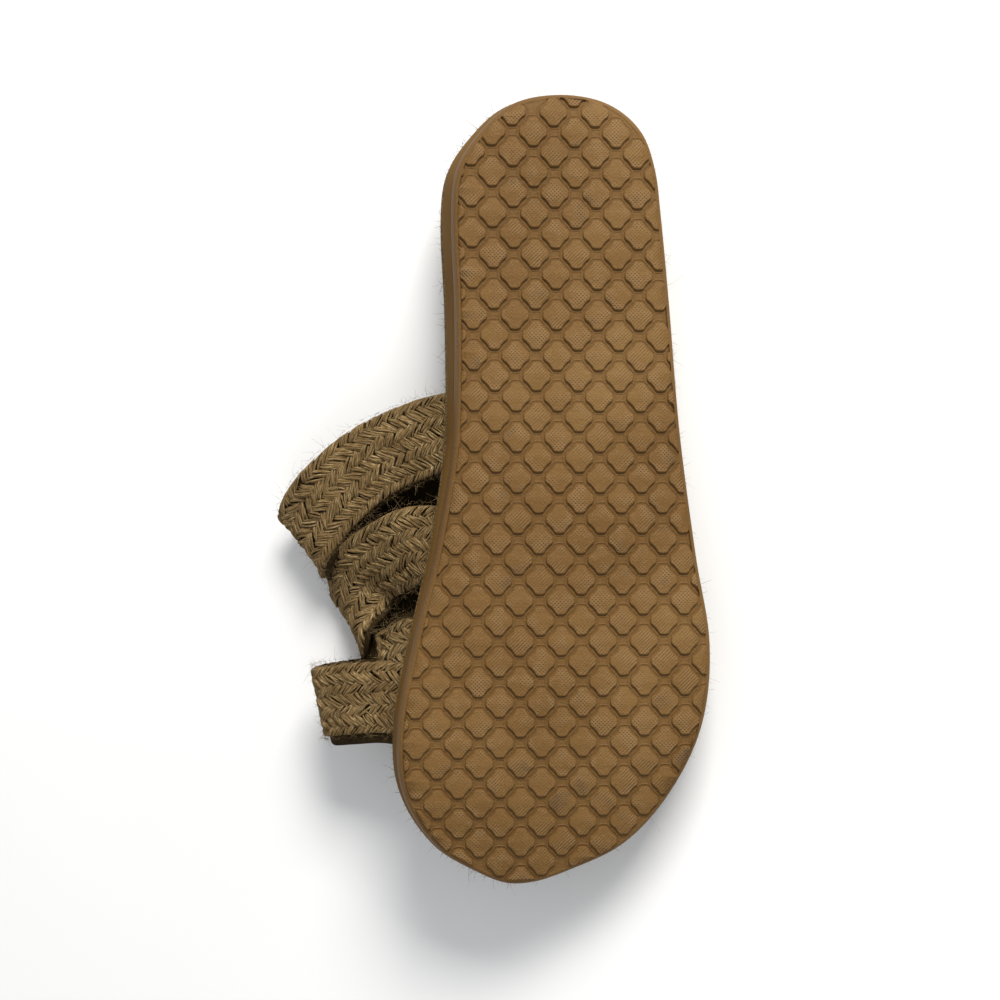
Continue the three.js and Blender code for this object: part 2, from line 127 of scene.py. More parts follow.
def along_table(rows, column, share, measure=lambda share: share):
    """A column's value at shares of the length, on a smooth curve through the rows."""
    table = np.array(rows, float)
    spots, values = measure(table[:, 0]), table[:, column]
    last = len(rows) - 1
    order = np.arange(last + 1)
    ahead, behind = np.minimum(order + 1, last), np.maximum(order - 1, 0)
    slopes = (values[ahead] - values[behind]) / (spots[ahead] - spots[behind])
    place = measure(np.clip(share, 0, 1))
    low = np.clip(np.searchsorted(spots, place) - 1, 0, last - 1)
    span = spots[low + 1] - spots[low]
    t = (place - spots[low]) / span
    rise = (values[low + 1] - values[low]) * t * t * (3 - 2 * t)
    bend = t * (1 - t) ** 2 * span * slopes[low] + t * t * (t - 1) * span * slopes[low + 1]
    return values[low] + rise + bend


def edge_at(side, x):
    """Inner (1) or outer (2) edge of the tread face at a distance from the heel."""
    def measure(share):
        return np.arccos(1 - 2 * share) / math.pi
    return BALL_WIDTH * along_table(EDGE_ROWS, side, x / SOLE_LENGTH, measure)


def lift_at(x):
    """Lift of the tread face off the ground when worn: toe spring and a small lift at the heel."""
    share = x / SOLE_LENGTH
    toe = np.maximum(0, (share - SPRING_SHARE) / (1 - SPRING_SHARE))
    heel = np.maximum(0, 1 - share / HEEL_LIFT_SHARE)
    return TOE_SPRING * toe ** 2 + HEEL_LIFT * heel ** 2


def rim_at(x):
    """Height of the footbed's rim."""
    wedge = along_table(WEDGE_ROWS, 1, x / SOLE_LENGTH)
    return lift_at(x) + FORE_HEIGHT + (HEEL_HEIGHT - FORE_HEIGHT) * wedge


def level(inset, height_at):
    """A ring of the sole: heel, inner side, toe, outer side, set in from the sloping side wall."""
    k = np.arange(2 * OUTLINE_ROWS)
    x = SOLE_LENGTH * (1 - np.cos(math.pi * np.minimum(k, 2 * OUTLINE_ROWS - k) / OUTLINE_ROWS)) / 2
    ring = np.stack([x, np.where(k <= OUTLINE_ROWS, edge_at(1, x), edge_at(2, x))], -1)
    way = np.roll(ring, -1, 0) - np.roll(ring, 1, 0)
    way /= np.linalg.norm(way, axis=1)[:, None]
    step = inset - WALL_SLOPE * (height_at(x) - lift_at(x))
    ring = ring + np.stack([way[:, 1], -way[:, 0]], -1) * step[:, None]
    return np.column_stack([ring, height_at(ring[:, 0])])


def cap(ring, columns, dip=0.0):
    """A sheet that closes a ring, with a dip along its middle: rows of points from heel to toe."""
    rows = np.arange(OUTLINE_ROWS + 1)
    inner, outer = ring[rows], ring[(2 * OUTLINE_ROWS - rows) % (2 * OUTLINE_ROWS)]
    t = np.linspace(0, 1, columns)[None, :, None]
    sheet = inner[:, None] * (1 - t) + outer[:, None] * t
    sheet[..., 2] -= dip * 4 * t[..., 0] * (1 - t[..., 0])
    return sheet.reshape(-1, 3), rings_to_quads(OUTLINE_ROWS + 1, columns, closed=False)


def joined(parts):
    """Points and faces of several forms as one."""
    shift, points, faces = 0, [], []
    for part_points, part_faces in parts:
        points.append(part_points)
        faces.append(part_faces + shift)
        shift += len(part_points)
    return np.concatenate(points), np.concatenate(faces)


def keep_within(points, line, group_size=2000):
    """Points outside a closed line, seen from above, moved to the nearest place on it."""
    start, way = line, np.roll(line, -1, 0) - line
    kept = points.copy()
    for first in range(0, len(points), group_size):
        group = points[first:first + group_size, None, :2]
        t = np.clip(((group - start) * way).sum(-1) / (way * way).sum(-1), 0, 1)
        near = start + t[..., None] * way
        best = ((group - near) ** 2).sum(-1).argmin(1)
        pick = np.arange(len(best))
        arm = group[:, 0] - start[best]
        outside = way[best, 0] * arm[:, 1] - way[best, 1] * arm[:, 0] > 0
        kept[first:first + group_size, :2][outside] = near[pick, best][outside]
    return kept


def unit(vectors):
    return vectors / np.linalg.norm(vectors, axis=-1)[..., None]


def on_tread(height):
    """A level over the tread face, which follows the toe spring."""
    return lambda x: lift_at(x) + height


def lug_line():
    """Outline of a lug about its centre: four short ends, four hollow slanting sides, soft corners."""
    front, side, end, edge = LUG_LENGTH / 2, LUG_WIDTH / 2, LUG_END_WIDTH / 2, LUG_SIDE_LENGTH / 2
    hollow = ((front + edge) / 2 - LUG_HOLLOW, (side + end) / 2 - LUG_HOLLOW)
    quarter = [(front, end), hollow, (edge, side)]
    half = quarter + [(-x, y) for x, y in quarter[::-1]]
    ring = np.array(half + [(-x, -y) for x, y in half])
    cut = np.tile([CORNER_CUT, HOLLOW_CUT, CORNER_CUT], 4)[:, None]
    ways = [unit(np.roll(ring, step, 0) - ring) for step in (1, -1)]
    ring = np.stack([ring + way * cut for way in ways], 1).reshape(-1, 2)
    after = np.roll(ring, -1, 0)
    return np.stack([ring * 0.75 + after * 0.25, ring * 0.25 + after * 0.75], 1).reshape(-1, 2)


# distance outside the lug's line and depth below its top: ring foot, ring, groove, wall, soft top edge
LUG_PROFILE = [
    (1.25, 1.12), (1.0, 0.86), (0.74, 0.82), (0.52, 1.12),
    (0.16, 1.18), (0.02, 0.25), (-0.12, 0.06), (-0.35, 0),
]
LUG_REACH = LUG_LENGTH * 0.4


def tread_lugs():
    """All lugs of the tread, those at the edge cut off by the plain margin."""
    rows, columns = np.meshgrid(np.arange(-6, 36), np.arange(-14, 5), indexing="ij")
    on_board = (rows + columns) % 2 == 0
    x = TREAD_START + rows[on_board] * LUG_PITCH / 2
    y = TREAD_SIDE + columns[on_board] * LUG_COLUMN_PITCH / 2 - TREAD_SKEW * (x - TREAD_START)
    near = (x > -LUG_REACH) & (x < SOLE_LENGTH + LUG_REACH)
    near &= (y < edge_at(1, x) + LUG_REACH) & (y > edge_at(2, x) - LUG_REACH)
    centres = np.stack([x[near], y[near]], -1)
    line = lug_line()
    way = np.roll(line, -1, 0) - np.roll(line, 1, 0)
    out = np.stack([way[:, 1], -way[:, 0]], -1) / np.linalg.norm(way, axis=1)[:, None]
    shape = np.stack([line + out * distance for distance, _ in LUG_PROFILE])
    depth = np.array([depth for _, depth in LUG_PROFILE])
    flat = centres[:, None, None] + shape[None]
    deep = np.broadcast_to(depth[None, :, None, None], flat.shape[:3] + (1,))
    points = np.concatenate([flat, deep], -1)
    size = shape.shape[0] * shape.shape[1]
    points = points.reshape(-1, 3)
    margin = level(TREAD_MARGIN, on_tread(TREAD_DEPTH))[:, :2]
    points = keep_within(points, margin)
    points[:, 2] += lift_at(points[:, 0])
    sides = repeated(rings_to_quads(shape.shape[0], shape.shape[1]), len(centres), size)
    top = size - shape.shape[1] + np.arange(shape.shape[1])
    k = np.arange(shape.shape[1] // 2 - 1)
    fan = np.stack([top[k], top[k + 1], top[-k - 2], top[-k - 1]], -1)
    return points, sides, repeated(fan, len(centres), size)


def new_material(name, roughness, specular=0.2, sheen=0.0):
    """A material with its principled shader, and the tree that its nodes go in."""
    material = bpy.data.materials.new(name)
    material.use_nodes = True
    shader = material.node_tree.nodes["Principled BSDF"]
    shader.inputs["Roughness"].default_value = roughness
    shader.inputs["Specular IOR Level"].default_value = specular
    shader.inputs["Sheen Weight"].default_value = sheen
    return material, material.node_tree, shader


def add_node(tree, kind, sockets=(), **settings):
    """A node with its settings, and its inputs set to values or linked to other nodes' outputs."""
    node = tree.nodes.new(kind)
    for setting, value in settings.items():
        setattr(node, setting, value)
    for socket, value in dict(sockets).items():
        if isinstance(value, bpy.types.NodeSocket):
            tree.links.new(value, node.inputs[socket])
        else:
            node.inputs[socket].default_value = value
    return node


def own_place(tree):
    """The place on the sandal in its own frame, in metres."""
    world_place = add_node(tree, "ShaderNodeTexCoord").outputs["Object"]
    sockets = {"Vector": world_place, "Location": lie.translation, "Rotation": lie.to_euler()}
    return add_node(tree, "ShaderNodeMapping", sockets, vector_type="TEXTURE").outputs[0]


def noise(tree, where, scale, detail=4.0, stretch=(1, 1, 1)):
    """Cloudy variation over the surface, in the sandal's own frame."""
    spread = add_node(tree, "ShaderNodeMapping", {"Vector": where, "Scale": stretch})
    sockets = {"Vector": spread.outputs[0], "Scale": scale, "Detail": detail}
    return add_node(tree, "ShaderNodeTexNoise", sockets).outputs["Fac"]


def tint(tree, factor, stops):
    """Colours along a factor."""
    ramp = add_node(tree, "ShaderNodeValToRGB", {"Fac": factor})
    while len(ramp.color_ramp.elements) < len(stops):
        ramp.color_ramp.elements.new(0.5)
    for element, (place, colour) in zip(ramp.color_ramp.elements, stops):
        element.position = place
        element.color = (*colour, 1)
    return ramp.outputs["Color"]


def mix(tree, factor, first, second, blend="MIX"):
    """One colour over another."""
    node = add_node(tree, "ShaderNodeMix", data_type="RGBA", blend_type=blend)
    for socket, value in ((node.inputs[0], factor), (node.inputs[6], first), (node.inputs[7], second)):
        if isinstance(value, bpy.types.NodeSocket):
            tree.links.new(value, socket)
        elif socket.type == "RGBA":
            socket.default_value = (*value, 1)
        else:
            socket.default_value = value
    return node.outputs[2]


def add_bump(tree, shader, height, distance, strength=1.0):
    """Fine relief from a height between 0 and 1."""
    sockets = {"Height": height, "Distance": distance, "Strength": strength}
    bump = add_node(tree, "ShaderNodeBump", sockets)
    tree.links.new(bump.outputs[0], shader.inputs["Normal"])


def waves(tree, where, scale, distortion, direction="X"):
    """Even ribs over the surface."""
    sockets = {"Vector": where, "Scale": scale, "Distortion": distortion}
    return add_node(tree, "ShaderNodeTexWave", sockets, bands_direction=direction).outputs["Fac"]


def hatch(tree, where, angle):
    """Fine straight ribs, a millimetre apart, across the tread at an angle."""
    rotation = (0, 0, math.radians(angle))
    turned = add_node(tree, "ShaderNodeMapping", {"Vector": where, "Rotation": rotation})
    return waves(tree, turned.outputs[0], 360, 0.7)


def math_of(tree, first, second, operation):
    """Two values as one."""
    return add_node(tree, "ShaderNodeMath", {0: first, 1: second}, operation=operation).outputs[0]


def shade(tree, factor, low, high, most):
    """A grey mask that rises from nothing at one value of a factor to its most at another."""
    return tint(tree, factor, [(low, (0, 0, 0)), (high, (most, most, most))])


def tread_rubber(name, hatched):
    """Worn tan rubber. Fine crossed ribs on the lugs' tops are worn in places and grimy in others."""
    material, tree, shader = new_material(name, 0.66)
    where = own_place(tree)
    clouds = noise(tree, where, 16, 6)
    base = tint(tree, clouds, [
        (0.3, (0.125, 0.062, 0.015)), (0.5, (0.155, 0.08, 0.021)), (0.7, (0.19, 0.103, 0.031)),
    ])
    specks = noise(tree, where, 1100, 2)
    base = mix(tree, shade(tree, specks, 0.55, 0.75, 0.3), base, (0.26, 0.15, 0.06))
    relief = specks
    if hatched:
        first, second = hatch(tree, where, 45), hatch(tree, where, -45)
        crossed = shade(tree, noise(tree, where, 42, 3), 0.35, 0.52, 1)
        second = math_of(tree, second, crossed, "MULTIPLY")
        ribs = math_of(tree, first, second, "MAXIMUM")
        patches = noise(tree, where, 160, 6)
        worn = tint(tree, patches, [(0.36, (0.05, 0.05, 0.05)), (0.62, (1, 1, 1))])
        shown = math_of(tree, ribs, worn, "MULTIPLY")
        base = mix(tree, shade(tree, shown, 0.3, 1, 0.5), base, (0.29, 0.18, 0.085))
        relief = math_of(tree, specks, shown, "ADD")
        grime = shade(tree, noise(tree, where, 80, 8), 0.59, 0.72, 0.5)
        base = mix(tree, grime, base, (0.07, 0.04, 0.016))
    else:
        base = mix(tree, 0.3, base, (0.1, 0.048, 0.011))
    tree.links.new(base, shader.inputs["Base Color"])
    add_bump(tree, shader, relief, 0.0003, 0.8)
    return material


# how far margin, bevel and wall are set in, and their height over the tread face
WALL_ROWS = [
    (TREAD_MARGIN + 0.6, TREAD_DEPTH + 0.15),
    (TREAD_MARGIN, TREAD_DEPTH - 0.1),
    (EDGE_BEVEL, TREAD_DEPTH - 0.1),
    (EDGE_BEVEL * 0.55, TREAD_DEPTH + EDGE_BEVEL * 0.1),
    (EDGE_BEVEL * 0.15, TREAD_DEPTH + EDGE_BEVEL * 0.6),
    (0, TREAD_DEPTH + EDGE_BEVEL * 1.3),
    (0, OUTSOLE_THICKNESS - 0.7),
    (0.25, OUTSOLE_THICKNESS - 0.15),
    (TOP_INSET, OUTSOLE_THICKNESS),
]
lug_points, lug_sides, lug_tops = tread_lugs()
wall = np.concatenate([level(inset, on_tread(height)) for inset, height in WALL_ROWS])
tread_floor = cap(level(TREAD_MARGIN + 0.5, on_tread(TREAD_DEPTH)), TREAD_COLUMNS)
tread_floor = (tread_floor[0], tread_floor[1][:, ::-1])
outsole_top = cap(level(TOP_INSET, on_tread(OUTSOLE_THICKNESS)), FLAT_COLUMNS)
plain = joined([
    (wall, rings_to_quads(len(WALL_ROWS), 2 * OUTLINE_ROWS)[:, ::-1]), tread_floor, outsole_top,
])
points, faces = joined([(lug_points, np.concatenate([lug_sides, lug_tops])), plain])
hatched_faces = np.zeros(len(faces), int)
hatched_faces[len(lug_sides):len(lug_sides) + len(lug_tops)] = 1
outsole = make_piece(
    "outsole_tread", points, faces,
    [tread_rubber("tan_rubber", False), tread_rubber("hatched_rubber", True)],
    face_finish=hatched_faces,
)
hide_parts("outsole")

# Midsole: a wedge of light foam rubber, thicker at the heel, glued on the outsole. Its side is ground
# smooth with fine lines along it, and sinks into a shallow groove at each glue line.
INSOLE_THICKNESS = 4.6
SIDE_GROOVE = 0.9
SIDE_STEP = 0.35
# share of the midsole's height, how far its wall is set in
SIDE_ROWS = [
    (0, SIDE_GROOVE), (0.03, SIDE_GROOVE), (0.07, SIDE_STEP), (0.12, SIDE_STEP * 0.5),
    (0.45, SIDE_STEP * 0.4), (0.8, SIDE_STEP * 0.5), (0.88, SIDE_STEP), (0.95, SIDE_GROOVE),
    (1, SIDE_GROOVE * 1.2),
]


def foam_rubber():
    """Brown foam rubber with fine lines along the side and soft dirt."""
    material, tree, shader = new_material("foam_rubber", 0.85, specular=0.06)
    where = own_place(tree)
    clouds = noise(tree, where, 24, 6)
    base = tint(tree, clouds, [(0.3, (0.115, 0.057, 0.013)), (0.7, (0.165, 0.086, 0.022))])
    lines = noise(tree, where, 30, 3, stretch=(1, 1, 45))
    base = mix(tree, shade(tree, lines, 0.45, 0.75, 0.35), base, (0.19, 0.101, 0.028))
    tree.links.new(base, shader.inputs["Base Color"])
    add_bump(tree, shader, lines, 0.0002, 0.5)
    return material


def midsole_height(share):
    """A level at a share of the midsole's height."""
    def height(x):
        low = lift_at(x) + OUTSOLE_THICKNESS
        return low + (rim_at(x) - INSOLE_THICKNESS - low) * share
    return height


side = np.concatenate([level(inset, midsole_height(share)) for share, inset in SIDE_ROWS])
base_sheet = cap(level(SIDE_GROOVE, midsole_height(0)), FLAT_COLUMNS)
base_sheet = (base_sheet[0], base_sheet[1][:, ::-1])
points, faces = joined([
    (side, rings_to_quads(len(SIDE_ROWS), 2 * OUTLINE_ROWS)[:, ::-1]),
    base_sheet,
    cap(level(SIDE_GROOVE * 1.2, midsole_height(1)), FLAT_COLUMNS),
])
midsole = make_piece("midsole_wedge", points, faces, [foam_rubber()])
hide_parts("midsole")

# Insole: a thin foam footbed covered in plain-woven jute cloth, which is drawn round its rim and glued
# under it. Fibres stick out of the cloth all round the rim.
FOOTBED_DIP = 1.8
FOOTBED_COLUMNS = 16
# how far the rim is set in, depth below the rim's height
RIM_ROWS = [
    (3.3, 4.75), (1.8, 4.7), (1.2, 4.2), (0.9, 3.3), (0.75, 2.3),
    (0.9, 1.3), (1.3, 0.55), (1.9, 0.12), (2.8, 0),
]
WEAVE_PITCH = 0.0016


def woven_jute():
    """Plain weave of coarse jute yarn: over and under in turn, with pale and dark yarns."""
    material, tree, shader = new_material("woven_jute", 0.9, specular=0.12)
    where = own_place(tree)
    bent = noise(tree, where, 60, 3)
    place = mix(tree, 0.012, where, bent)
    sockets = {"Vector": place, "Scale": 1 / WEAVE_PITCH}
    check = add_node(tree, "ShaderNodeTexChecker", sockets).outputs["Fac"]
    weave = mix(tree, check, waves(tree, place, 196, 1, "X"), waves(tree, place, 196, 1, "Y"))
    fibre = noise(tree, where, 1500, 3)
    base = tint(tree, fibre, [
        (0.3, (0.11, 0.064, 0.022)), (0.55, (0.2, 0.128, 0.05)), (0.8, (0.38, 0.27, 0.125)),
    ])
    gaps = tint(tree, weave, [(0.0, (0.75, 0.75, 0.75)), (0.4, (0, 0, 0))])
    base = mix(tree, gaps, base, (0.07, 0.042, 0.017))
    tree.links.new(base, shader.inputs["Base Color"])
    add_bump(tree, shader, math_of(tree, weave, fibre, "ADD"), 0.0005, 0.8)
    return material


def below_rim(depth):
    """A level at a depth below the rim."""
    return lambda x: rim_at(x) - depth


rim = np.concatenate([level(inset, below_rim(depth)) for inset, depth in RIM_ROWS])
(under_inset, under_depth), (top_inset, top_depth) = RIM_ROWS[0], RIM_ROWS[-1]
under = cap(level(under_inset, below_rim(under_depth)), FLAT_COLUMNS)
under = (under[0], under[1][:, ::-1])
points, faces = joined([
    (rim, rings_to_quads(len(RIM_ROWS), 2 * OUTLINE_ROWS)[:, ::-1]),
    under,
    cap(level(top_inset, below_rim(top_depth)), FOOTBED_COLUMNS, FOOTBED_DIP),
])
jute_cloth = woven_jute()
insole = make_piece("insole_footbed", points, faces, [jute_cloth])
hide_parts("insole")

# Straps: flat braids of twisted jute strands, lined with a smooth cloth and sewn into the rim under the
# footbed. The toe and instep straps lie over the two straps that cross between them. All are slack.
STRAP_WIDTH = 28.5
STRAP_THICKNESS = 4.4
STRAP_INSET = 1.8
UPPER_HEIGHT = 48
END_RISE = 1
STRAP_GAP = 0.3
SHEET_STEPS = 600
# a strap is flat up to here from its middle line, and its edges then curl down by this much
CROWN_START = 8.5
CROWN_DROP = 0.75
# stitches stand in columns and slant by turns to the left and to the right
STITCH_STEP = 3.3
STITCH_ANGLE = 44
STITCH_HALF_WIDTH = 0.92
STITCH_SLANT_SPREAD = 5
STITCH_SHIFTS = (0.3, 0.2)
COLUMN_WIDTH = 3.9
# yarns of a stitch: half their length as a share of the column, their bow, and their dive at the ends
YARNS = 4
YARN_WIDTH = 0.84
YARN_HEIGHT = 0.8
YARN_REACH = 0.6
YARN_SLANT_SPREAD = 4
YARN_BOW = 0.22
YARN_DIVE = 0.95
YARN_DIVE_POWER = 3.5
YARN_STEPS = 8
YARN_SIDES = 6
# yarns within this of the braid's edge are drawn in and down, as shares of how far they reach past it
EDGE_TURN = 1.1
EDGE_PULL = 0.75
EDGE_DROP = 0.9
# loose fibres
HAIRS = 1900
HAIR_STEPS = 6
HAIR_SIDES = 3
HAIR_ROOT = 0.4
LONGEST_HAIR = 5
HAIRLESS_END = 8
EDGE_HAIR_SHARE = 0.35
FLOOR_ROOM = 0.2

# place along the sole, across it and over the rim, as shares, and the turn of the strap in degrees
TOE_ROWS = [
    (0.773, 0.6, 0.15, -4), (0.778, 0.705, 0.28, -8), (0.784, 0.782, 0.45, -12),
    (0.783, 0.765, 0.62, -12), (0.775, 0.6, 0.64, -8), (0.766, 0.25, 0.47, -3),
    (0.76, -0.12, 0.32, 0), (0.756, -0.36, 0.17, 2),
]
INSTEP_ROWS = [
    (0.434, 0.46, 0.17, -12), (0.463, 0.62, 0.33, -22), (0.518, 0.781, 0.5, -36),
    (0.566, 0.85, 0.7, -31), (0.57, 0.78, 0.88, -28), (0.55, 0.565, 0.76, -21),
    (0.508, 0.2, 0.47, -14), (0.472, -0.12, 0.235, -10), (0.452, -0.32, 0.075, -4),
]
FORWARD_ROWS = [
    (0.573, 0.49, 0.19, -10), (0.592, 0.575, 0.39, -30), (0.615, 0.645, 0.59, -39),
    (0.67, 0.688, 0.75, -17), (0.684, 0.615, 0.79, -8), (0.676, 0.33, 0.57, 0),
    (0.688, -0.05, 0.29, 4), (0.698, -0.3, 0.12, 4),
]
BACKWARD_ROWS = [
    (0.717, 0.49, 0.13, 0), (0.732, 0.56, 0.26, 4), (0.736, 0.56, 0.4, 8), (0.705, 0.43, 0.45, 14),
    (0.645, 0.15, 0.34, 16), (0.592, -0.15, 0.18, 12), (0.567, -0.31, 0.085, 2),
]
# name, width of the bare lining along the front edge, inner end and outer end as shares of the length,
# tuck of each end behind its neighbour, rows
STRAPS = [
    ("toe_strap", 3.0, 0.772, 0.755, 0, 0, TOE_ROWS),
    ("instep_strap", 0.6, 0.4215, 0.445, 0, 0, INSTEP_ROWS),
    ("forward_strap", 0.4, 0.567, 0.695, 0, 1, FORWARD_ROWS),
    ("backward_strap", 0.4, 0.717, 0.565, 1, 0, BACKWARD_ROWS),
]
strand_chance = np.random.default_rng(7)


def strap_end(side, share, tuck):
    """Middle of a strap's end on the rim, seen from above, and the way along the rim."""
    sign = 1 if side == 1 else -1
    x = share * SOLE_LENGTH
    depth = STRAP_INSET + STRAP_THICKNESS / 2 + tuck * (STRAP_THICKNESS + STRAP_GAP)
    places = np.array([x - STRAP_WIDTH / 2, x + STRAP_WIDTH / 2])
    rims = edge_at(side, places) + sign * WALL_SLOPE * (rim_at(places) - lift_at(places))
    rear, front = np.stack([places, rims], -1)
    way = (front - rear) / np.linalg.norm(front - rear)
    out = np.array([-way[1], way[0]]) * sign
    return (rear + front) / 2 - out * depth, way


def smooth_curve(spots, count):
    """Points on a curve through the spots that turns evenly, and never loops between close spots."""
    spots = np.array(spots)
    ends = np.concatenate([[2 * spots[0] - spots[1]], spots, [2 * spots[-1] - spots[-2]]])
    u = np.linspace(0, len(spots) - 1, count)
    low = np.minimum(u.astype(int), len(spots) - 2)
    t = (u - low)[:, None]
    p0, p1, p2, p3 = (ends[low + k] for k in range(4))
    chords = ((p0, p1), (p1, p2), (p2, p3))
    d0, d1, d2 = (np.sqrt(np.linalg.norm(b - a, axis=1))[:, None] for a, b in chords)
    leave = ((p1 - p0) / d0 - (p2 - p0) / (d0 + d1) + (p2 - p1) / d1) * d1
    arrive = ((p2 - p1) / d1 - (p3 - p1) / (d1 + d2) + (p3 - p2) / d2) * d1
    bend = p1 + leave * t + (3 * (p2 - p1) - 2 * leave - arrive) * t ** 2
    return bend + (2 * (p1 - p2) + leave + arrive) * t ** 3


def strap_sheet(inner_end, outer_end, inner_tuck, outer_tuck, rows):
    """A strap's middle sheet: length along it, middle line, way across and way out at each step."""
    middles, leads = [], []

    def add_end(side, share, tuck, rises):
        middle, way = strap_end(side, share, tuck)
        for rise in rises:
            middles.append([*middle, float(rim_at(middle[0])) + rise])
            leads.append([*way, 0])

    add_end(1, inner_end, inner_tuck, (-INSOLE_THICKNESS, END_RISE))
    for along, across, rise, turn in rows:
        x = along * SOLE_LENGTH
        middles.append([x, across * BALL_WIDTH, float(rim_at(x)) + rise * UPPER_HEIGHT])
        leads.append([math.cos(math.radians(turn)), math.sin(math.radians(turn)), 0])
    add_end(2, outer_end, outer_tuck, (END_RISE, -INSOLE_THICKNESS))
    middles, leads = np.array(middles), np.array(leads)
    last = len(middles) - 1
    order = np.arange(last + 1)
    way = middles[np.minimum(order + 1, last)] - middles[np.maximum(order - 1, 0)]
    way /= np.linalg.norm(way, axis=1)[:, None]
    leads = leads - way * (leads * way).sum(-1)[:, None]
    leads /= np.linalg.norm(leads, axis=1)[:, None]
    rear = smooth_curve(middles - leads * STRAP_WIDTH / 2, SHEET_STEPS)
    front = smooth_curve(middles + leads * STRAP_WIDTH / 2, SHEET_STEPS)
    middle = (rear + front) / 2
    length = np.concatenate([[0], np.cumsum(np.linalg.norm(np.diff(middle, axis=0), axis=1))])
    across = (front - rear) / np.linalg.norm(front - rear, axis=1)[:, None]
    ahead = np.gradient(middle, axis=0)
    out = np.cross(ahead, across)
    out /= np.linalg.norm(out, axis=1)[:, None]
    return length, middle, across, out


def on_strap(sheet, along, across, height):
    """Points at a length along the strap, a distance from its middle line, a height over its sheet."""
    length, *columns = sheet
    middle, side, out = (
        np.stack([np.interp(along, length, column[:, k]) for k in range(3)], -1) for column in columns
    )
    past = np.clip((np.abs(across) - CROWN_START) / (STRAP_WIDTH / 2 - CROWN_START), 0, None)
    return middle + side * across[..., None] + out * (height - CROWN_DROP * past ** 2)[..., None]


def braid(sheet, bare):
    """The face of a flat braid: columns of slanting stitches, each of yarns that dive at both ends."""
    columns = round((STRAP_WIDTH - bare) / COLUMN_WIDTH)
    column_width = (STRAP_WIDTH - bare) / columns
    count = int(sheet[0][-1] / STITCH_STEP)
    grids = np.meshgrid(np.arange(columns), np.arange(count), np.arange(YARNS), indexing="ij")
    column, place, yarn = (grid.ravel() for grid in grids)
    total = len(column)
    stitch = strand_chance.normal(size=(4, total // YARNS)).repeat(YARNS, axis=1)
    chance = strand_chance.normal(size=(5, total))
    slant = STITCH_ANGLE + STITCH_SLANT_SPREAD * stitch[0] + YARN_SLANT_SPREAD * chance[0]
    angle = np.radians(slant) * np.where(column % 2 == 0, 1, -1)
    off_middle = (yarn - (YARNS - 1) / 2) / ((YARNS - 1) / 2)
    beside = off_middle * STITCH_HALF_WIDTH * (1 + 0.08 * stitch[1]) + 0.08 * chance[1]
    start = (place + 0.5 * (column % 2) + 0.5) * STITCH_STEP + STITCH_SHIFTS[0] * stitch[2]
    centre = (column + 0.5) * column_width - STRAP_WIDTH / 2 + STITCH_SHIFTS[1] * stitch[3]
    half_length = (YARN_REACH + 0.04 * chance[3]) * column_width / np.sin(np.abs(angle))
    t = np.linspace(-1, 1, YARN_STEPS)
    phase = np.linspace(0, 2 * math.pi, YARN_SIDES + 1)[:-1]
    bow = YARN_BOW * chance[4][:, None] * (1 - t ** 2)
    run = half_length[:, None] * t
    aside = beside[:, None] * (1 - 0.2 * t ** 2) + bow
    along = start[:, None] + run * np.cos(angle)[:, None] - aside * np.sin(angle)[:, None]
    across = centre[:, None] + run * np.sin(angle)[:, None] + aside * np.cos(angle)[:, None]
    uneven = 0.1 * chance[3] + 0.13 * stitch[1]
    top = STRAP_THICKNESS / 2 - YARN_HEIGHT / 2 + (uneven - 0.3 * off_middle ** 2)
    height = top[:, None] - YARN_DIVE * np.abs(t) ** YARN_DIVE_POWER
    girth = (1 + 0.14 * chance[2])[:, None] * (1 - 0.15 * t ** 4)
    wide = (YARN_WIDTH / 2 * girth)[..., None] * np.cos(phase)
    tall = (YARN_HEIGHT / 2 * girth)[..., None] * np.sin(phase)
    ring_along = along[..., None] - wide * np.sin(angle)[:, None, None]
    ring_across = across[..., None] + wide * np.cos(angle)[:, None, None]
    middle, half = -bare / 2, (STRAP_WIDTH - bare) / 2 - EDGE_TURN
    past = np.maximum(0, np.abs(ring_across - middle) - half)
    ring_across = ring_across - np.sign(ring_across - middle) * EDGE_PULL * past
    points = on_strap(sheet, ring_along, ring_across, height[..., None] + tall - EDGE_DROP * past)
    faces = repeated(rings_to_quads(YARN_STEPS, YARN_SIDES), total, YARN_STEPS * YARN_SIDES)
    turn = np.arange(YARN_SIDES) / YARN_SIDES
    row, spot = (grid.ravel() for grid in np.meshgrid(np.arange(YARN_STEPS - 1), turn, indexing="ij"))
    step = 1 / YARN_SIDES
    corner_u = np.stack([row, row, row + 1, row + 1], -1) / (YARN_STEPS - 1)
    corner_v = np.stack([spot, spot + step, spot + step, spot], -1)
    shift = np.stack([2.0 * np.arange(total), np.zeros(total)], -1)
    uvs = np.stack([corner_u, corner_v], -1)[None] + shift[:, None, None]
    return points.reshape(-1, 3), faces, uvs


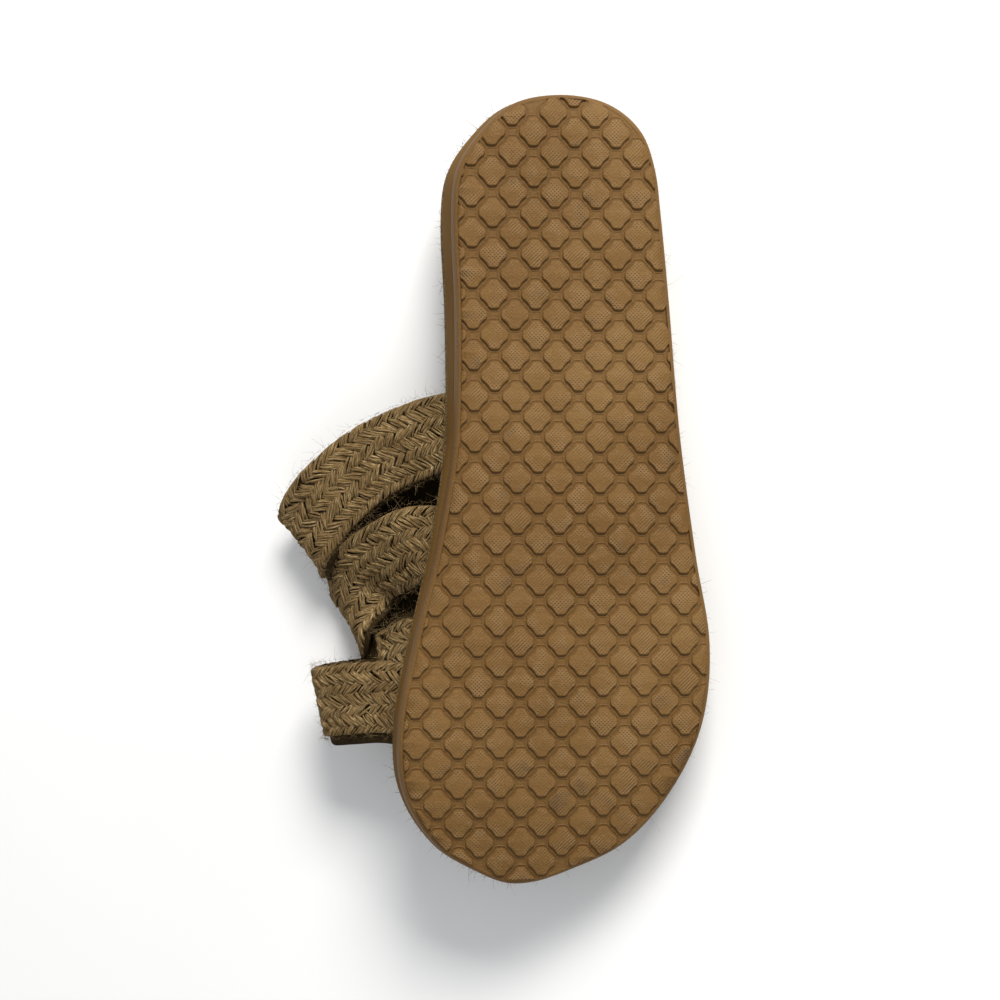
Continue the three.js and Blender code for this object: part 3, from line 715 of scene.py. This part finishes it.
def braid_jute():
    """Loosely twisted jute yarn: pale and dark fibres along it, each yarn a little different."""
    material, tree, shader = new_material("braid_jute", 0.85, specular=0.12)
    strand = add_node(tree, "ShaderNodeUVMap", uv_map="UVMap").outputs["UV"]
    where = own_place(tree)
    fibre = noise(tree, strand, 1, 6, stretch=(3, 11, 1))
    yarns = noise(tree, strand, 1, 1, stretch=(0.5, 0.1, 1))
    patches = noise(tree, where, 90, 6)
    base = tint(tree, fibre, [
        (0.3, (0.055, 0.028, 0.008)), (0.43, (0.16, 0.095, 0.032)),
        (0.54, (0.29, 0.192, 0.08)), (0.68, (0.6, 0.46, 0.26)),
    ])
    dark_yarns = tint(tree, yarns, [(0.38, (0.6, 0.6, 0.6)), (0.56, (0, 0, 0))])
    base = mix(tree, dark_yarns, base, (0.12, 0.07, 0.024))
    dark_patches = tint(tree, patches, [(0.38, (0.5, 0.5, 0.5)), (0.56, (0, 0, 0))])
    base = mix(tree, dark_patches, base, (0.1, 0.058, 0.02))
    tree.links.new(base, shader.inputs["Base Color"])
    add_bump(tree, shader, fibre, 0.0004, 1)
    return material


def lining_cloth_with_painted_shade():
    """Smooth cloth with a fine rib, painted near-black: its own dark tone plus painted shade for the
    strap's shaded underside.
    """
    material, tree, shader = new_material("lining_cloth_with_painted_shade", 0.9, specular=0.05)
    where = own_place(tree)
    clouds = noise(tree, where, 60, 4)
    # painted shade: the near-black lining colour is partly the cloth's own dark tone and partly stands
    # for the shade on the strap's underside
    base = tint(tree, clouds, [(0.35, (0.018, 0.011, 0.004)), (0.65, (0.036, 0.023, 0.009))])
    tree.links.new(base, shader.inputs["Base Color"])
    add_bump(tree, shader, waves(tree, where, 500, 0.5, "DIAGONAL"), 0.0001, 0.5)
    return material


# distance from the middle line, height over the sheet: the lining's flat back, its rounded edges, and
# its face, which shows beside the braid on some straps
LINING_SECTION = [
    (-13.2, -1.0), (-12.9, -1.8), (-12, -2.2), (-6, -2.2), (0, -2.2), (6, -2.2), (12.9, -2.2),
    (13.9, -1.8), (14.25, -1.0), (14.1, -0.1), (13.3, 0.35), (6, 0.5), (0, 0.5), (-6, 0.5),
    (-12.3, 0.4), (-13.1, -0.1),
]
LINING_STEPS = 120


def lining(sheet):
    """The lining and the core of a strap as one closed band."""
    section = np.array(LINING_SECTION)
    along = np.repeat(np.linspace(0, sheet[0][-1], LINING_STEPS)[:, None], len(section), 1)
    across, height = (np.broadcast_to(section[:, k], along.shape) for k in range(2))
    points = on_strap(sheet, along, across, height)
    return points.reshape(-1, 3), rings_to_quads(LINING_STEPS, len(section))[:, ::-1]


def hair_tubes(roots, ways, lengths, curls, thickness):
    """Loose fibres as thin tubes that bend from their root's way towards a curl."""
    t = np.linspace(0, 1, HAIR_STEPS)[None, :, None]
    lines = roots[:, None] + lengths[:, None, None] * (ways[:, None] * t + curls[:, None] * t ** 2)
    floor_normal = np.array(floor_way)
    above = lines @ floor_normal + lie.translation.z / MM
    lines = lines + floor_normal * np.maximum(0, FLOOR_ROOM - above)[..., None]
    side = np.cross(ways, curls)
    side /= np.linalg.norm(side, axis=1)[:, None] + 1e-9
    up = np.cross(side, ways)
    phase = np.arange(HAIR_SIDES) * 2 * math.pi / HAIR_SIDES
    ring = side[:, None, None] * np.cos(phase)[:, None] + up[:, None, None] * np.sin(phase)[:, None]
    points = lines[:, :, None] + ring * (thickness[:, None, None, None] * (1 - 0.6 * t[..., None]))
    faces = repeated(rings_to_quads(HAIR_STEPS, HAIR_SIDES), len(roots), HAIR_STEPS * HAIR_SIDES)
    return points.reshape(-1, 3), faces


def strap_hairs(sheet, bare, amount):
    """Loose fibres that stand off a strap's face and edges."""
    along = strand_chance.uniform(HAIRLESS_END, sheet[0][-1] - HAIRLESS_END, amount)
    rear, front = -STRAP_WIDTH / 2, STRAP_WIDTH / 2 - bare
    across = strand_chance.uniform(rear, front, amount)
    at_edge = strand_chance.random(amount) < EDGE_HAIR_SHARE
    across = np.where(at_edge, np.where(strand_chance.random(amount) < 0.5, rear, front), across)
    roots = on_strap(sheet, along, across, np.full(amount, STRAP_THICKNESS / 2 - HAIR_ROOT))
    out = np.stack([np.interp(along, sheet[0], sheet[3][:, k]) for k in range(3)], -1)
    loose = unit(strand_chance.normal(size=(amount, 3)))
    ways = unit(out * strand_chance.uniform(-0.1, 0.8, amount)[:, None] + loose)
    curls = unit(strand_chance.normal(size=(amount, 3))) * 0.6
    lengths = np.minimum(strand_chance.gamma(2.6, 0.65, amount) + 0.6, LONGEST_HAIR)
    return hair_tubes(roots, ways, lengths, curls, strand_chance.uniform(0.03, 0.06, amount))


def hair_jute():
    """Pale loose fibre."""
    material, tree, shader = new_material("hair_jute", 0.7)
    where = own_place(tree)
    clouds = noise(tree, where, 120, 2)
    base = tint(tree, clouds, [(0.35, (0.09, 0.055, 0.02)), (0.65, (0.3, 0.21, 0.1))])
    tree.links.new(base, shader.inputs["Base Color"])
    return material


strand_finish, lining_finish, hair_finish = braid_jute(), lining_cloth_with_painted_shade(), hair_jute()
for name, bare, inner_end, outer_end, inner_tuck, outer_tuck, rows in STRAPS:
    sheet = strap_sheet(inner_end, outer_end, inner_tuck, outer_tuck, rows)
    points, faces, uvs = braid(sheet, bare)
    strap = make_piece(name + "_braid", points, faces, [strand_finish], uvs=uvs)
    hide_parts("upper")
    points, faces = lining(sheet)
    make_piece(name + "_lining", points, faces, [lining_finish])
    points, faces = strap_hairs(sheet, bare, HAIRS)
    make_piece(name + "_fibres", points, faces, [hair_finish])

# Rim fibres: loose ends of the jute yarns of the insole's cloth, which stick out all round the rim.
# They are held by the cloth's own weave.
RIM_HAIRS = 600
LONGEST_RIM_HAIR = 6
RIM_HAIR_DEPTH = 2.4
RIM_HAIR_SPREAD = 2.2


def rim_hairs(amount):
    """Short fibres that stand out of the rim, a few of them long."""
    ring = level(0.85, below_rim(RIM_HAIR_DEPTH))
    inner_ring = level(2, below_rim(RIM_HAIR_DEPTH))
    pick = strand_chance.integers(0, len(ring), amount)
    out = unit(ring[pick] - inner_ring[pick])
    rise = strand_chance.uniform(-RIM_HAIR_SPREAD, RIM_HAIR_SPREAD, amount)
    roots = ring[pick] + np.array([0, 0, 1.0]) * rise[:, None]
    ways = unit(out + 0.75 * strand_chance.normal(size=(amount, 3)))
    curls = unit(strand_chance.normal(size=(amount, 3))) * 0.6
    lengths = np.minimum(strand_chance.gamma(2.2, 0.75, amount) + 0.6, LONGEST_RIM_HAIR)
    return hair_tubes(roots, ways, lengths, curls, strand_chance.uniform(0.035, 0.08, amount))


points, faces = rim_hairs(RIM_HAIRS)
make_piece("rim_fibres", points, faces, [hair_finish])

# Floor, light and camera: a pale plain floor, one broad soft light from the heel side, a weaker one
# from the toe side, and the camera square to the tread but a little towards the big-toe side.
VIEW_DISTANCE = 0.6
VIEW_TURN = 7
FRAME_WIDTH = 0.3264
SOLE_MIDDLE_PIXEL = (566, 491)
IMAGE_SIZE = 1000
SENSOR_WIDTH = 36
FLOOR_REACH = 9
ROOM_LIGHT = 0.55


def pale_floor():
    """Near-white matt ground with a trace of unevenness."""
    material, tree, shader = new_material("pale_floor", 0.9)
    where = own_place(tree)
    base = tint(tree, noise(tree, where, 6, 2), [(0.3, (0.84, 0.84, 0.83)), (0.7, (0.87, 0.87, 0.86))])
    tree.links.new(base, shader.inputs["Base Color"])
    return material


floor_mesh = bpy.data.meshes.new("floor")
corners = [(x * FLOOR_REACH, y * FLOOR_REACH, 0) for x, y in ((-1, -1), (1, -1), (1, 1), (-1, 1))]
floor_mesh.from_pydata(corners, [], [(0, 1, 2, 3)])
floor_mesh.materials.append(pale_floor())
floor = bpy.data.objects.new("floor", floor_mesh)
bpy.context.scene.collection.objects.link(floor)


def soft_light(name, place, size, power, colour):
    """A flat lamp that faces the sandal."""
    lamp = bpy.data.lights.new(name, "AREA")
    lamp.shape = "RECTANGLE"
    lamp.size, lamp.size_y = size
    lamp.energy = power
    lamp.color = colour
    light = bpy.data.objects.new(name, lamp)
    light.location = place
    light.rotation_euler = (-Vector(place)).to_track_quat("-Z", "Y").to_euler()
    bpy.context.scene.collection.objects.link(light)


soft_light("heel_light", place=(1.15, -0.45, 1.05), size=(0.7, 0.55), power=32, colour=(1, 0.98, 0.95))
soft_light("toe_light", place=(-0.9, -0.5, 1.2), size=(1, 1), power=2, colour=(0.97, 0.98, 1))
world = bpy.data.worlds.new("room")
world.use_nodes = True
background = world.node_tree.nodes["Background"]
background.inputs["Color"].default_value = (0.95, 0.97, 1, 1)
background.inputs["Strength"].default_value = ROOM_LIGHT
bpy.context.scene.world = world

sole_middle = lie @ Vector((SOLE_LENGTH / 2 * MM, 0, 0))
turn = math.radians(VIEW_TURN)
away = lie.to_3x3() @ Vector((0, math.sin(turn), -math.cos(turn)))
image_up = lie.to_3x3() @ Vector((-1, 0, 0))
image_up = (image_up - away * image_up.dot(away)).normalized()
bpy.context.scene.view_settings.view_transform = "Standard"
lens = bpy.data.cameras.new("camera")
lens.sensor_width = SENSOR_WIDTH
lens.lens = lens.sensor_width * VIEW_DISTANCE / FRAME_WIDTH
lens.shift_x = (IMAGE_SIZE / 2 - SOLE_MIDDLE_PIXEL[0]) / IMAGE_SIZE
lens.shift_y = (SOLE_MIDDLE_PIXEL[1] - IMAGE_SIZE / 2) / IMAGE_SIZE
camera = bpy.data.objects.new("camera", lens)
camera.matrix_world = Matrix.Translation(sole_middle + away * VIEW_DISTANCE) @ Matrix(
    (image_up.cross(away), image_up, away)
).transposed().to_4x4()
bpy.context.scene.collection.objects.link(camera)
bpy.context.scene.camera = camera
